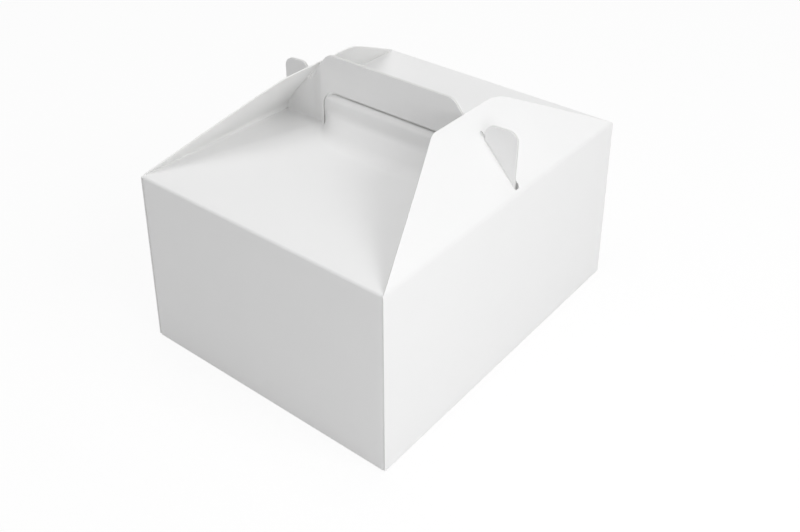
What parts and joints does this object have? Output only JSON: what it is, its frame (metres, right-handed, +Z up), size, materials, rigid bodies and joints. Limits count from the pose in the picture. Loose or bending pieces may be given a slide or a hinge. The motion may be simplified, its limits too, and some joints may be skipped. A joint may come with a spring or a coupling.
{
  "type": "pastry carrier box",
  "caption": "White board carrier box with a flat split lid, a two-layer carrying handle and two slotted side flaps hooked over the handle's ears.",
  "frame": {"origin": "middle of the base, on the surface the box stands on", "axes": "+Z up, -Y towards the front wall, +X towards the right flap; the handle runs along X"},
  "size_m": [0.142, 0.181, 0.1262],
  "materials": {
    "white_board": "smooth coated white, semi-matt"
  },
  "bodies": {
    "carton": {"carton": "white_board"},
    "left_flap": {"left_flap": "white_board"},
    "right_flap": {"right_flap": "white_board"}
  },
  "joints": [
    {"name": "left_flap_hinge", "type": "hinge", "parent": "carton", "child": "left_flap", "pos_m": [-0.0685, 0, 0.09], "axis": [0, -1, 0], "range_deg": [0, 200]},
    {"name": "right_flap_hinge", "type": "hinge", "parent": "carton", "child": "right_flap", "pos_m": [0.0685, 0, 0.09], "axis": [0, 1, 0], "range_deg": [0, 200]}
  ]
}
